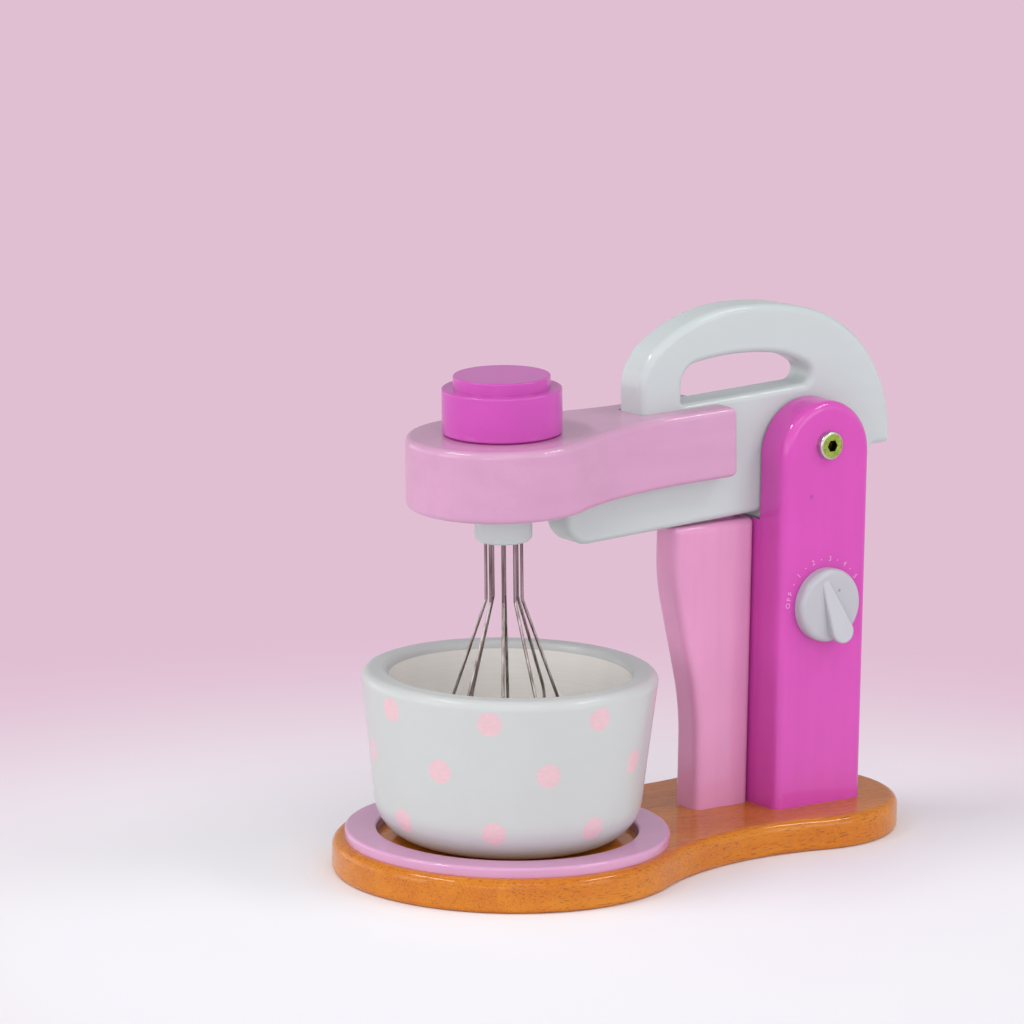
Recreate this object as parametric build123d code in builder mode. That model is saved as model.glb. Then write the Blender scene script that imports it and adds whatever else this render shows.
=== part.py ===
from build123d import *
import os
from math import atan2, cos, degrees, radians, sin, sqrt, tan

# A toy stand mixer in painted wood: a tilting head with a carrying handle, a whisk that is turned
# by a knob, a loose bowl that stands in a ring on the base board, and a dial on the column.
#
# X runs from the bowl to the column, -Y is the side with the dial, Z is up. The origin is the
# centre of the bowl's place, on the underside of the base board. Sizes are in millimetres.

# ---------------------------------------------------------------- clearances
AIR = 0.3           # between pieces that move past each other
SLIP = 0.15         # between flat faces that turn on each other
RUN = 0.08          # radial, a shaft that turns in its hole
SNUG = 0.02         # radial, a pin or a screw that is fixed in its hole
GROOVE = 0.05       # each side of a board that is glued in a groove

# ---------------------------------------------------------------- base board and bowl ring
base_t = 15.0
base_front_r = 78.5         # the round end under the bowl
base_rear_r = 53.5          # the round end under the column
base_waist_r = 133.0        # the hollow curve between them, on each side
base_top_round = 4.0
base_foot_round = 2.5
ring_r = 73.0
ring_bore_r = 58.7
ring_t = 4.4
ring_round = 1.3

# ---------------------------------------------------------------- bowl
bowl_rim_r = 66.8           # outer radius at the rim
bowl_taper = 6.5            # slope of the wall, degrees from upright
bowl_h = 77.0
bowl_wall = 12.0
bowl_floor = 10.0
bowl_heel_r = 21.0          # the round between wall and foot
bowl_inner_r = 17.0         # the round between wall and floor, inside
bowl_rim_round = 4.0
bowl_lip_round = 3.0        # the rim's inner edge

# ---------------------------------------------------------------- column
pivot_x = 156.2             # the head's pivot, and the middle of the column
pivot_z = 182.8
cheek_w = 50.0
cheek_t = 17.8
arch_drop = 5.0             # the arch's centre lies this far below the pivot
cheek_round = 4.0
cheek_inner_round = 1.2
core_step = 0.3             # the core stands back this far from the cheeks' front
core_gap = 0.8              # air between the arm's disc and the core
dowel_r = 4.0
dowel_depth = 12.0          # into each cheek
dowel_spread = 11.0         # from the column's middle
dowel_low = 55.0            # heights above the ground
dowel_high = 128.0
dowel_chamfer = 0.8

# ---------------------------------------------------------------- front post
post_t = 17.0
post_gap = 0.8              # between the post and the cheeks' front
post_foot = 30.6            # depth at the foot
post_swell = 14.9           # how much deeper it is at the top
swell_start = 46.0          # height from which the front sweeps out
swell_turn = 13.8           # degrees
swell_low_r = 130.0         # two arcs, with a straight piece between them
swell_high_r = 100.0
post_round = 3.8
post_corner_r = 2.0         # the top's corners, seen from the side

# ---------------------------------------------------------------- arm, in the swing's own frame
# The swing's frame has its origin at the pivot and turns with the head. At rest it leans
# forward a little, because the arm lies on the front edge of the post.
rest_lean = 1.9             # degrees
arm_t = 18.0
arm_play = 0.6              # from the arm to each cheek, with a washer in it
arm_drop = 31.0             # from the pivot down to the arm's underside, at the disc
arm_fall = 1.0              # the underside runs down towards the tongue's nose, degrees
arm_round = 3.4
disc_r = 41.7               # the round end that turns between the cheeks
disc_front = 23.4           # the disc starts with a step, this far in front of the pivot
disc_corner_r = 1.5
tongue_share = 0.82         # the tongue's reach under the head, as a share of the whisk's
tongue_nose_r = 12.5
leg_front = 91.8            # from the pivot to the handle's front leg
leg_w = 23.5
leg_top = 32.0              # height at which the leg's front starts to bend back
handle_bend_r = 24.8        # four arcs, from the leg over the top to the heel
handle_bend = 57.0
handle_brow_r = 79.6
handle_crown_r = 152.0
handle_crown = 15.6
handle_back_r = 65.1
heel_drop = 8.8             # the handle's heel lies this far below the pivot
heel_r = 1.6
grip_floor = 24.2           # height of the finger hole's lower edge at its front end
grip_rise = 1.0             # and how much higher it is at its rear end
grip_front_top = 40.8       # heights of its upper edge: at the front leg, at its highest, at the rear
grip_crown = 43.6
grip_crown_x = -40.0
grip_rear_top = 41.4
grip_rear_x = -16.0         # where the upper edge starts to sink to the round rear end
grip_reach = 4.7            # how far that end reaches, the height of its foremost point,
grip_reach_z = 30.3         # and how hard the curve pulls at both its ends
grip_pull = (7.5, 4.5)
grip_corner_r = 9.6
grip_foot_r = 2.0
grip_end_r = 4.8

# ---------------------------------------------------------------- pivot bolt
barrel_r = 4.0
barrel_past = 9.0           # how far the sleeve reaches into the far cheek
pivot_screw_r = 2.5
thread_depth = 26.0
flange_r = 6.5
flange_t = 3.3
flange_round = 1.1
thread_spare = 2.0          # the screw stops this far before the thread's end
pivot_screw_chamfer = 0.6
hex_across = 5.0
hex_depth = 2.4
pivot_washer_r = 9.0
pivot_washer_t = 0.5

# ---------------------------------------------------------------- head block
whisk_reach = 162.0         # from the pivot to the whisk's axis
head_nose_r = 42.0
head_nose_lead = 1.5        # the nose's centre is this far in front of the whisk's axis
head_w = 40.6               # width of the narrow rear end
head_rear = 46.5            # from the pivot to the head's rear end
head_straight = 30.0        # length of its straight sides; then hollow curves run to the nose
head_under = 9.85           # from the pivot down to the head's underside
head_t = 32.25
head_round = 3.0
head_end_round = 1.2

# ---------------------------------------------------------------- knob, shaft, hub and whisk
shaft_r = 5.0
collar_r = 26.8
collar_h = 20.2
collar_round = 0.9
cap_r = 21.7
cap_h = 5.6
cap_round = 0.7
knob_bore = 14.0
thrust_t = 0.5
thrust_r = 11.0
hub_r = 12.9
hub_h = 15.6
hub_round = 2.2
hub_bore = 7.5
wire_r = 0.72
wire_circle_r = 8.0
wire_grip = 6.5             # how far each wire end is let into the hub
wire_straight = 27.0        # from the hub's face down to the bend
wire_bend_r = 3.0
wire_flare = 19.0           # degrees from the axis
whisk_h = 107.3             # from the hub's face down to the lowest wire
loop_step = 2.0             # each loop hangs this much less deep than the one before
loop_angles = [52.0, 92.0, 143.0, 187.0]    # each loop's turn about the whisk's axis

# ---------------------------------------------------------------- dial
dial_z = 109.0
dial_r = 17.0
dial_t = 6.0
dial_round = 2.8
dial_stem_r = 4.5
dial_turn = 19.0            # degrees to the left of upright, at rest
pointer_h = 5.2             # height of the pointer at its thick end
pointer_tip_r = 2.3
pointer_tip = 10.6          # tip's centre, from the dial's middle
pointer_end_r = 5.7
pointer_end = 12.0          # thick end's centre, on the other side
pointer_round = 0.9
dial_recess_r = 8.0         # recess in the cheek's inner face
dial_recess = 4.6
dial_washer_r = 6.8
dial_washer_t = 0.8
dial_screw_r = 1.6
dial_screw_head_r = 3.4
dial_screw_head = 2.2
dial_screw_round = 0.8
dial_screw_l = 9.0

# ---------------------------------------------------------------- wood screws
screw_r = 2.0
screw_l = 34.0
screw_head_r = 4.0
screw_sunk = 0.4            # the heads lie a little below the wood
cross_r = 1.9               # half the span of the cross recess
cross_w = 1.0
cross_depth = 1.4
screw_spread = 13.0         # column screws, from the column's middle
post_screw_spread = 7.0
pilot_spare = 1.0           # each screw hole is this much deeper than the screw
head_screw_shares = (0.25, 0.8)     # places of the two on the tongue's flat underside

# ---------------------------------------------------------------- places worked out from the sizes
cheek_in = arm_t / 2 + arm_play
cheek_out = cheek_in + cheek_t
cheek_front = pivot_x - cheek_w / 2
post_rear = cheek_front - post_gap
post_front_low = post_rear - post_foot
post_front_high = post_front_low - post_swell
lean = radians(rest_lean)
# The arm's underside leans by the swing's lean and by its own fall. The post's top is level, and
# its front edge comes up to that underside.
fall = tan(radians(arm_fall))
arm_drop_mid = arm_drop - disc_front * fall     # the underside's line, followed to below the pivot
under_slope = tan(lean + radians(arm_fall))
under_top = pivot_z - arm_drop_mid * cos(radians(arm_fall)) / cos(lean + radians(arm_fall))
post_top = under_top - (pivot_x - post_front_high) * under_slope - AIR
arch_z = pivot_z - arch_drop
core_top = pivot_z - disc_r - core_gap
tongue_reach = tongue_share * whisk_reach
head_top = head_t - head_under
collar_z = head_top + thrust_t + SLIP
hub_top = -head_under - thrust_t - SLIP
hub_face = hub_top - hub_h

side = Plane(origin=(pivot_x, 0, 0), x_dir=(1, 0, 0), z_dir=(0, -1, 0))
swing_x = Vector(cos(lean), 0, sin(lean))
swing_up = Vector(-sin(lean), 0, cos(lean))
swing_origin = Vector(pivot_x, 0, pivot_z)
swing_side = Plane(origin=swing_origin, x_dir=swing_x, z_dir=(0, -1, 0))
swing_top = Plane(origin=swing_origin, x_dir=swing_x, z_dir=swing_up)
spindle_origin = swing_origin - swing_x * whisk_reach
spindle_top = Plane(origin=spindle_origin, x_dir=swing_x, z_dir=swing_up)
spindle = Axis(spindle_origin, swing_up)

column_spots = [(pivot_x + dx, y) for dx in (-screw_spread, screw_spread)
                for y in (-(cheek_in + cheek_t / 2), 0, cheek_in + cheek_t / 2)]
post_mid = (post_front_low + post_rear) / 2
post_spots = [(post_mid - post_screw_spread, 0), (post_mid + post_screw_spread, 0)]
dowel_spots = [(dx, z) for dx in (-dowel_spread, dowel_spread) for z in (dowel_low, dowel_high)]
nose_x = -tongue_reach + tongue_nose_r          # where the tongue's underside ends
head_screw_places = []      # along the arm, and how far below the pivot
for share in head_screw_shares:
    screw_x = -leg_front + share * (nose_x + leg_front)
    head_screw_places.append((screw_x, arm_drop - (screw_x + disc_front) * fall))

os.makedirs("parts", exist_ok=True)


def save(builder, name):
    builder.part.label = name
    export_step(builder.part, f"parts/{name}.step")


def pilot_holes(spots):
    """Screw holes that go up into a piece from its foot on the board."""
    with Locations(*[Location((x, y, base_t), (180, 0, 0)) for x, y in spots]):
        Hole(screw_r + SNUG, depth=screw_l + screw_sunk - base_t + pilot_spare)


# ---------------------------------------------------------------- base board
# Two round ends, joined on each side by a hollow curve that touches both.
waist_x = ((pivot_x ** 2 + (base_front_r + base_waist_r) ** 2 - (base_rear_r + base_waist_r) ** 2)
           / (2 * pivot_x))
waist_y = sqrt((base_front_r + base_waist_r) ** 2 - waist_x ** 2)
front_share = base_front_r / (base_front_r + base_waist_r)
rear_share = base_rear_r / (base_rear_r + base_waist_r)
front_touch = Vector(waist_x * front_share, waist_y * front_share)
rear_touch = Vector(pivot_x + (waist_x - pivot_x) * rear_share, waist_y * rear_share)

with BuildPart() as base_board:
    with BuildSketch():
        with BuildLine():
            ThreePointArc((front_touch.X, -front_touch.Y), (-base_front_r, 0), front_touch)
            ThreePointArc(front_touch, (waist_x, waist_y - base_waist_r), rear_touch)
            ThreePointArc(rear_touch, (pivot_x + base_rear_r, 0), (rear_touch.X, -rear_touch.Y))
            ThreePointArc((rear_touch.X, -rear_touch.Y), (waist_x, base_waist_r - waist_y),
                          (front_touch.X, -front_touch.Y))
        make_face()
    extrude(amount=base_t)
    fillet(base_board.faces().sort_by(Axis.Z)[-1].edges(), base_top_round)
    fillet(base_board.faces().sort_by(Axis.Z)[0].edges(), base_foot_round)
    with Locations(*[Location((x, y, 0), (180, 0, 0)) for x, y in column_spots + post_spots]):
        CounterSinkHole(screw_r + SNUG, screw_head_r + screw_sunk, depth=base_t)
save(base_board, "base_board")

with BuildPart() as bowl_ring:
    with BuildSketch(Plane.XY.offset(base_t)):
        Circle(ring_r)
        Circle(ring_bore_r, mode=Mode.SUBTRACT)
    extrude(amount=ring_t)
    fillet(bowl_ring.faces().sort_by(Axis.Z)[-1].edges(), ring_round)
save(bowl_ring, "bowl_ring")

# ---------------------------------------------------------------- wood screws from below
with BuildPart() as wood_screw:
    with BuildSketch(Plane.XZ):
        with BuildLine():
            Polyline((0, 0), (screw_head_r, 0), (screw_r, screw_head_r - screw_r),
                     (screw_r, screw_l - 2 * screw_r), (0, screw_l), (0, 0))
        make_face()
    revolve(axis=Axis.Z)
    with BuildSketch():
        Rectangle(2 * cross_r, cross_w)
        Rectangle(cross_w, 2 * cross_r)
    extrude(amount=cross_depth, mode=Mode.SUBTRACT)

with BuildPart() as base_screws:
    with Locations(*[(x, y, screw_sunk) for x, y in column_spots + post_spots]):
        add(wood_screw.part)
save(base_screws, "base_screws")


# ---------------------------------------------------------------- column
def off_the_foot(edge):
    """True for all edges but those of the foot, which stands flat on the board."""
    return edge.center().Z > base_t + 0.01


def round_spot(radius, height):
    """A circle on the side plane, straight above the column's middle."""
    with Locations((0, height)):
        Circle(radius)


for name, sense in (("cheek_near", -1), ("cheek_far", 1)):
    inner_plane = side.offset(-sense * cheek_in)
    with BuildPart() as cheek:
        with BuildSketch(inner_plane):
            with BuildLine():
                Polyline((-cheek_w / 2, arch_z), (-cheek_w / 2, base_t), (cheek_w / 2, base_t),
                         (cheek_w / 2, arch_z))
                ThreePointArc((cheek_w / 2, arch_z), (0, arch_z + cheek_w / 2),
                              (-cheek_w / 2, arch_z))
            make_face()
        extrude(amount=-sense * cheek_t)
        fillet(cheek.faces().sort_by(Axis.Y)[::sense][-1].edges().filter_by(off_the_foot),
               cheek_round)
        fillet(cheek.faces().sort_by(Axis.Y)[::sense][0].edges().filter_by(off_the_foot),
               cheek_inner_round)
        with BuildSketch(inner_plane):
            round_spot(barrel_r + SNUG, pivot_z)
        extrude(amount=-sense * cheek_t, mode=Mode.SUBTRACT)
        with BuildSketch(inner_plane):
            with Locations(*dowel_spots):
                Circle(dowel_r + SNUG)
        extrude(amount=-sense * (dowel_depth + AIR), mode=Mode.SUBTRACT)
        pilot_holes([spot for spot in column_spots if spot[1] * sense > 0])
        if name == "cheek_near":
            with BuildSketch(inner_plane):
                round_spot(dial_stem_r + RUN, dial_z)
            extrude(amount=cheek_t, mode=Mode.SUBTRACT)
            with BuildSketch(inner_plane):
                round_spot(dial_recess_r, dial_z)
            extrude(amount=dial_recess, mode=Mode.SUBTRACT)
    save(cheek, name)

with BuildPart() as column_core:
    with BuildSketch(side):
        with BuildLine():
            Polyline((-cheek_w / 2 + core_step, base_t), (cheek_w / 2, base_t),
                     (cheek_w / 2, core_top), (-cheek_w / 2 + core_step, core_top), close=True)
        make_face()
        with Locations(*dowel_spots):
            Circle(dowel_r + SNUG, mode=Mode.SUBTRACT)
    extrude(amount=cheek_in, both=True)
    fillet(column_core.faces().sort_by(Axis.Z)[-1].edges().filter_by(Axis.Y), cheek_inner_round)
    pilot_holes([spot for spot in column_spots if spot[1] == 0])
save(column_core, "column_core")

with BuildPart() as column_dowels:
    with BuildSketch(side):
        with Locations(*dowel_spots):
            Circle(dowel_r)
    extrude(amount=cheek_in + dowel_depth, both=True)
    chamfer(column_dowels.edges().filter_by(GeomType.CIRCLE), dowel_chamfer)
save(column_dowels, "column_dowels")

# ---------------------------------------------------------------- front post
# The front sweeps out in an S: an arc, a straight piece, and an arc that ends upright.
swell_arcs = (swell_low_r + swell_high_r) * (1 - cos(radians(swell_turn)))
swell_straight = (post_swell - swell_arcs) / sin(radians(swell_turn))

with BuildPart() as front_post:
    with BuildSketch(side):
        with BuildLine():
            sole = Line((post_rear - pivot_x, base_t), (post_front_low - pivot_x, base_t))
            shin = Line(sole @ 1, (post_front_low - pivot_x, swell_start))
            sweep_out = JernArc(shin @ 1, shin % 1, swell_low_r, swell_turn)
            slant = Line(sweep_out @ 1, sweep_out @ 1 + (sweep_out % 1) * swell_straight)
            sweep_back = JernArc(slant @ 1, slant % 1, swell_high_r, -swell_turn)
            FilletPolyline(sweep_back @ 1, (post_front_high - pivot_x, post_top),
                           (post_rear - pivot_x, post_top), sole @ 0, radius=post_corner_r)
        make_face()
    extrude(amount=post_t / 2, both=True)
    broad_faces = front_post.faces().filter_by(Axis.Y)
    fillet(broad_faces.edges().filter_by(off_the_foot), post_round)
    pilot_holes(post_spots)
save(front_post, "front_post")

# ---------------------------------------------------------------- pivot bolt
# A sleeve nut from the near side turns in the arm, and a screw from the far side clamps it.
for name, sense in (("pivot_sleeve_nut", -1), ("pivot_screw", 1)):
    outer_plane = side.offset(-sense * cheek_out)
    with BuildPart() as bolt:
        with BuildSketch(outer_plane):
            round_spot(flange_r, pivot_z)
        extrude(amount=-sense * flange_t)
        fillet(bolt.faces().sort_by(Axis.Y)[::sense][-1].edges(), flange_round)
        with BuildSketch(outer_plane.offset(-sense * flange_t)):
            with Locations((0, pivot_z)):
                RegularPolygon(hex_across / 2, 6, major_radius=False)
        extrude(amount=sense * hex_depth, mode=Mode.SUBTRACT)
        if name == "pivot_sleeve_nut":
            with BuildSketch(outer_plane):
                round_spot(barrel_r, pivot_z)
            extrude(amount=-(cheek_out + cheek_in + barrel_past))
            with BuildSketch(side.offset(-(cheek_in + barrel_past))):
                round_spot(pivot_screw_r + SNUG, pivot_z)
            extrude(amount=thread_depth, mode=Mode.SUBTRACT)
        else:
            with BuildSketch(outer_plane):
                round_spot(pivot_screw_r, pivot_z)
            extrude(amount=cheek_t - barrel_past + thread_depth - thread_spare)
            chamfer(bolt.faces().sort_by(Axis.Y)[0].edges(), pivot_screw_chamfer)
    save(bolt, name)

for name, sense in (("pivot_washer_near", -1), ("pivot_washer_far", 1)):
    with BuildPart() as washer:
        with BuildSketch(side.offset(-sense * cheek_in)):
            with Locations((0, pivot_z)):
                Circle(pivot_washer_r)
                Circle(barrel_r + SNUG, mode=Mode.SUBTRACT)
        extrude(amount=sense * pivot_washer_t)
    save(washer, name)

# ---------------------------------------------------------------- arm with handle
# One board. Its disc turns between the cheeks, the handle's leg stands in the head's groove,
# and the tongue runs forward under the head.
disc_meets = (-disc_front, -arm_drop)
heel_inner = (sqrt(disc_r ** 2 - heel_drop ** 2), -heel_drop)
leg_rear = -leg_front + leg_w


def corner(sketch, spot):
    """The sketch's corner at a place in its own plane."""
    return sketch.vertices().sort_by_distance((spot[0], spot[1], 0))[0]


def above_tongue(edge):
    """True for all edges but the tongue's upper ones, which lie under the head."""
    return abs(swing_side.to_local_coords(edge.center()).Y + head_under) > 0.01


with BuildPart() as arm:
    with BuildSketch(swing_side) as arm_sketch:
        with BuildLine():
            leg = Line((-leg_front, -head_under), (-leg_front, leg_top))
            bend = JernArc(leg @ 1, leg % 1, handle_bend_r, -handle_bend)
            brow = JernArc(bend @ 1, bend % 1, handle_brow_r, handle_bend - 90)
            crown = JernArc(brow @ 1, brow % 1, handle_crown_r, -handle_crown)
            back = JernArc(crown @ 1, crown % 1, handle_back_r,
                           Axis((0, -heel_drop, 0), (1, 0, 0)))
            heel = Line(back @ 1, heel_inner)
            disc = ThreePointArc(heel @ 1, (0, -disc_r),
                                 (-disc_front, -sqrt(disc_r ** 2 - disc_front ** 2)))
            Line(disc @ 1, disc_meets)
            under = Line(disc_meets, (nose_x, -arm_drop + (nose_x + disc_front) * fall))
            nose = JernArc(under @ 1, under % 1, tongue_nose_r, arm_fall - 90)
            Polyline(nose @ 1, (-tongue_reach, -head_under), leg @ 0)
        make_face()
        fillet(corner(arm_sketch, disc_meets), disc_corner_r)
        fillet(corner(arm_sketch, tuple(disc @ 1)), disc_corner_r)
        fillet(corner(arm_sketch, heel_inner), heel_r)
        fillet(corner(arm_sketch, tuple(heel @ 0)), heel_r)
        with BuildLine():
            grip_roof = ThreePointArc((leg_rear, grip_front_top), (grip_crown_x, grip_crown),
                                      (grip_rear_x, grip_rear_top))
            grip_tip = Vector(grip_reach, grip_reach_z)
            Bezier(grip_roof @ 1, grip_roof @ 1 + (grip_roof % 1) * grip_pull[0],
                   grip_tip + Vector(0, grip_pull[1]), grip_tip)
            Polyline(grip_tip, (grip_reach, grip_floor + grip_rise), (leg_rear, grip_floor),
                     grip_roof @ 0)
        make_face(mode=Mode.SUBTRACT)
        fillet(corner(arm_sketch, (leg_rear, grip_front_top)), grip_corner_r)
        fillet(corner(arm_sketch, (leg_rear, grip_floor)), grip_foot_r)
        fillet(corner(arm_sketch, (grip_reach, grip_floor + grip_rise)), grip_end_r)
    extrude(amount=arm_t / 2, both=True)
    fillet(arm.faces().filter_by(Axis.Y).edges().filter_by(above_tongue), arm_round)
    with BuildSketch(swing_side):
        Circle(barrel_r + RUN)
    extrude(amount=arm_t / 2, both=True, mode=Mode.SUBTRACT)
    with Locations(*[swing_top.location * Location((x, 0, -drop), (180, 0, 0))
                     for x, drop in head_screw_places]):
        CounterSinkHole(screw_r + SNUG, screw_head_r + screw_sunk, depth=arm_drop)
save(arm, "arm")

with BuildPart() as head_screws:
    with Locations(*[swing_top.location * Location((x, 0, -drop + screw_sunk))
                     for x, drop in head_screw_places]):
        add(wood_screw.part)
save(head_screws, "head_screws")

# ---------------------------------------------------------------- head block
# A round nose, hollow flanks and a narrow rear end that is grooved for the arm.
# The flank's radius is the one that touches both the nose and the straight side.
flank_x = -head_rear - head_straight
flank_run = flank_x + whisk_reach + head_nose_lead
flank_r = ((flank_run ** 2 + (head_w / 2) ** 2 - head_nose_r ** 2)
           / (2 * head_nose_r - head_w))
flank_turn = degrees(atan2(flank_run, head_w / 2 + flank_r))

with BuildPart() as head_block:
    with BuildSketch(swing_top.offset(-head_under)):
        with BuildLine():
            far_end = Line((-head_rear, head_w / 2), (flank_x, head_w / 2))
            far_flank = JernArc(far_end @ 1, far_end % 1, flank_r, -flank_turn)
            head_nose = JernArc(far_flank @ 1, far_flank % 1, head_nose_r, 180 + 2 * flank_turn)
            near_flank = JernArc(head_nose @ 1, head_nose % 1, flank_r, -flank_turn)
            Polyline(near_flank @ 1, (-head_rear, -head_w / 2), far_end @ 0)
        make_face()
    extrude(amount=head_t)
    fillet(head_block.edges().filter_by(Axis(swing_origin, swing_up)), head_end_round)
    broad_faces = head_block.faces().filter_by(Axis(swing_origin, swing_up))
    fillet(broad_faces.edges(), head_round)
    with BuildSketch(swing_top.offset(-head_under)):
        with Locations((-leg_front - GROOVE, 0)):
            Rectangle(leg_front, arm_t + 2 * GROOVE, align=(Align.MIN, Align.CENTER))
        with Locations((-whisk_reach, 0)):
            Circle(shaft_r + RUN)
    extrude(amount=head_t, mode=Mode.SUBTRACT)
    for x, drop in head_screw_places:
        with Locations(swing_top.location * Location((x, 0, -head_under), (180, 0, 0))):
            Hole(screw_r + SNUG, depth=screw_l + screw_sunk - drop + head_under + pilot_spare)
save(head_block, "head_block")

# ---------------------------------------------------------------- knob, shaft and hub
with BuildPart() as knob_collar:
    with BuildSketch(spindle_top.offset(collar_z)):
        Circle(collar_r)
    extrude(amount=collar_h)
    fillet(knob_collar.edges().filter_by(GeomType.CIRCLE), collar_round)
    with BuildSketch(spindle_top.offset(collar_z)):
        Circle(shaft_r + SNUG)
    extrude(amount=knob_bore, mode=Mode.SUBTRACT)
save(knob_collar, "knob_collar")

with BuildPart() as knob_cap:
    with BuildSketch(spindle_top.offset(collar_z + collar_h)):
        Circle(cap_r)
    extrude(amount=cap_h)
    fillet(knob_cap.edges().sort_by(spindle)[-1], cap_round)
save(knob_cap, "knob_cap")

with BuildPart() as whisk_shaft:
    with BuildSketch(spindle_top.offset(hub_top - hub_bore + AIR)):
        Circle(shaft_r)
    extrude(amount=collar_z + knob_bore - hub_top + hub_bore - 2 * AIR)
    chamfer(whisk_shaft.edges().filter_by(GeomType.CIRCLE), dowel_chamfer)
save(whisk_shaft, "whisk_shaft")

for name, height in (("knob_washer", head_top), ("hub_washer", -head_under - thrust_t)):
    with BuildPart() as thrust_washer:
        with BuildSketch(spindle_top.offset(height)):
            Circle(thrust_r)
            Circle(shaft_r + RUN, mode=Mode.SUBTRACT)
        extrude(amount=thrust_t)
    save(thrust_washer, name)

with BuildPart() as whisk_hub:
    with BuildSketch(spindle_top.offset(hub_face)):
        Circle(hub_r)
    extrude(amount=hub_h)
    fillet(whisk_hub.edges().sort_by(spindle)[0], hub_round)
    with BuildSketch(spindle_top.offset(hub_top)):
        Circle(shaft_r + SNUG)
    extrude(amount=-hub_bore, mode=Mode.SUBTRACT)
    with BuildSketch(spindle_top.offset(hub_face)):
        for angle in loop_angles:
            with PolarLocations(wire_circle_r, 2, start_angle=angle):
                Circle(wire_r + SNUG)
    extrude(amount=wire_grip + SNUG, mode=Mode.SUBTRACT)
save(whisk_hub, "whisk_hub")

# ---------------------------------------------------------------- whisk
# Each loop is one wire: down from the hub, a bend, a straight flare, and a round bottom that
# touches the flare on both sides. The loops hang one above the other where they cross.
flare = radians(wire_flare)
bend_z = hub_face - wire_straight
for number, angle in enumerate(loop_angles):
    bottom_z = hub_face - whisk_h + wire_r + number * loop_step
    bottom_r = ((wire_circle_r * cos(flare) + (bend_z - bottom_z) * sin(flare))
                / (1 + sin(flare)))
    touch_x = bottom_r * cos(flare)
    touch_z = bottom_z + bottom_r + bottom_r * sin(flare)
    along = swing_x * cos(radians(angle)) + Vector(0, 1, 0) * sin(radians(angle))
    loop_plane = Plane(origin=spindle_origin, x_dir=along, z_dir=along.cross(swing_up))
    with BuildPart() as whisk_loop:
        with BuildLine(loop_plane) as wire_path:
            down = FilletPolyline((-wire_circle_r, hub_face + wire_grip),
                                  (-wire_circle_r, bend_z), (-touch_x, touch_z),
                                  radius=wire_bend_r)
            bottom = ThreePointArc((-touch_x, touch_z), (0, bottom_z), (touch_x, touch_z))
            FilletPolyline((touch_x, touch_z), (wire_circle_r, bend_z),
                           (wire_circle_r, hub_face + wire_grip), radius=wire_bend_r)
        with BuildSketch(Plane(origin=wire_path.line @ 0, z_dir=wire_path.line % 0)):
            Circle(wire_r)
        sweep()
    save(whisk_loop, f"whisk_loop_{number + 1}")

# ---------------------------------------------------------------- bowl
bowl_z = base_t + SLIP
rim_z = bowl_z + bowl_h
slope = tan(radians(bowl_taper))
inner_r = bowl_rim_r - bowl_wall
foot_r = bowl_rim_r - bowl_h * slope
floor_r = inner_r - (bowl_h - bowl_floor) * slope

with BuildPart() as bowl:
    with BuildSketch(Plane.XZ) as bowl_sketch:
        with BuildLine():
            Polyline((0, bowl_z), (foot_r, bowl_z), (bowl_rim_r, rim_z), (inner_r, rim_z),
                     (floor_r, bowl_z + bowl_floor), (0, bowl_z + bowl_floor), close=True)
        make_face()
        fillet(corner(bowl_sketch, (foot_r, bowl_z)), bowl_heel_r)
        fillet(corner(bowl_sketch, (floor_r, bowl_z + bowl_floor)), bowl_inner_r)
        fillet(corner(bowl_sketch, (bowl_rim_r, rim_z)), bowl_rim_round)
        fillet(corner(bowl_sketch, (inner_r, rim_z)), bowl_lip_round)
    revolve(axis=Axis.Z)
save(bowl, "bowl")

# ---------------------------------------------------------------- dial
# The pointer is narrow and flush with the disc at its tip, and wide and tall at its other end,
# which is round and stands a little over the disc's edge.
dial_plane = Plane(origin=(pivot_x, -cheek_out - SLIP, dial_z), z_dir=(0, -1, 0),
                   x_dir=(cos(radians(dial_turn)), 0, sin(radians(dial_turn))))
pointer_side = Plane(origin=dial_plane.origin, x_dir=dial_plane.y_dir, z_dir=dial_plane.x_dir)
stem_l = cheek_t - dial_recess + 2 * SLIP
tip_x = pointer_tip + pointer_tip_r
end_x = -pointer_end - pointer_end_r

with BuildPart() as pointer:
    with BuildSketch(dial_plane.offset(dial_t - dial_round)):
        with Locations((0, pointer_tip)):
            Circle(pointer_tip_r)
        with Locations((0, -pointer_end)):
            Circle(pointer_end_r)
        make_hull()
    extrude(amount=dial_round + pointer_h)
    with BuildSketch(pointer_side):
        with BuildLine():
            Polyline((tip_x, dial_t), (end_x, dial_t + pointer_h),
                     (end_x, dial_t + 2 * pointer_h), (tip_x, dial_t + 2 * pointer_h), close=True)
        make_face()
    extrude(amount=dial_r, both=True, mode=Mode.SUBTRACT)
    fillet(pointer.faces().sort_by(Axis.Y)[0].edges(), pointer_round)

with BuildPart() as dial:
    with BuildSketch(dial_plane):
        Circle(dial_r)
    extrude(amount=dial_t)
    fillet(dial.faces().sort_by(Axis.Y)[0].edges(), dial_round)
    add(pointer.part)
    with BuildSketch(dial_plane):
        Circle(dial_stem_r)
    extrude(amount=-stem_l)
    with BuildSketch(dial_plane.offset(-stem_l)):
        Circle(dial_screw_r + SNUG)
    extrude(amount=dial_screw_l, mode=Mode.SUBTRACT)
save(dial, "dial")

with BuildPart() as dial_washer:
    with BuildSketch(dial_plane.offset(-stem_l)):
        Circle(dial_washer_r)
        Circle(dial_screw_r + SNUG, mode=Mode.SUBTRACT)
    extrude(amount=-dial_washer_t)
save(dial_washer, "dial_washer")

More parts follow.
